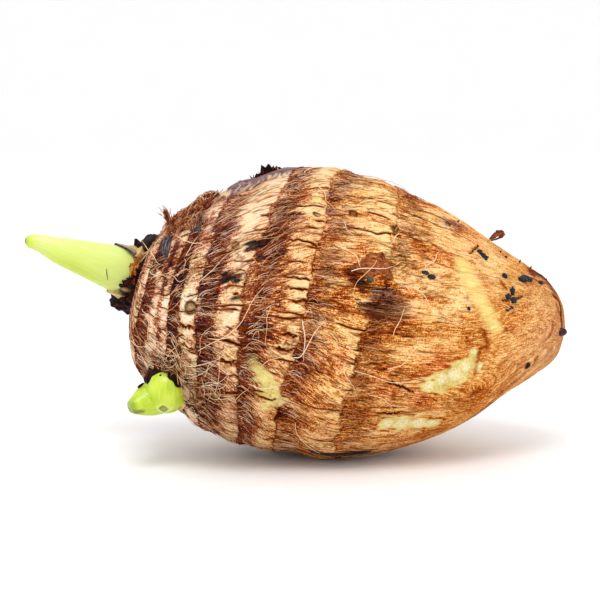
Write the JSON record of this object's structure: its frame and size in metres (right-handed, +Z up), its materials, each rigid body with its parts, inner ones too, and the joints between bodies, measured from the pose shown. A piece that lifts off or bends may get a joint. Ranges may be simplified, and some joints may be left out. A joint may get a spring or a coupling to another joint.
{
  "type": "sprouting taro root",
  "caption": "Brown ringed taro corm that tapers to a blunt neck, lying down, with a long green main shoot and a stubby side shoot.",
  "frame": {"origin": "on the table, under the middle of the whole root", "axes": "+X from the growing tip to the base scar, +Z up, -Y towards the side shoot"},
  "size_m": [0.1509, 0.0776, 0.0821],
  "materials": {
    "corm_skin": "dry cork in pale and purple-brown rings, rough",
    "shoot": "smooth waxy young leaf",
    "green_scale": "smooth waxy bud scale",
    "sheath": "pale torn leaf base, dry at the rim",
    "dark_husk": "torn dark fibres",
    "dry_leaf": "dry red-brown fibres",
    "black_scale": "glossy black bud scale",
    "root_bead": "glossy dark red root stub",
    "soil": "dry black soil"
  },
  "bodies": {
    "root": {"corm": "corm_skin", "main_shoot": "shoot", "main_sheath": "sheath", "main_husk": "dark_husk", "side_shoot": "shoot", "side_scale": "green_scale", "side_collar": "dark_husk", "crest_scale": "dark_husk", "leaf_scrap": "dry_leaf", "bud_scale": "black_scale", "bract": "dry_leaf", "root_stub": "root_bead", "soil_crumb_1": "soil", "soil_crumb_2": "soil", "soil_crumb_3": "soil", "soil_crumb_4": "soil"}
  },
  "joints": []
}
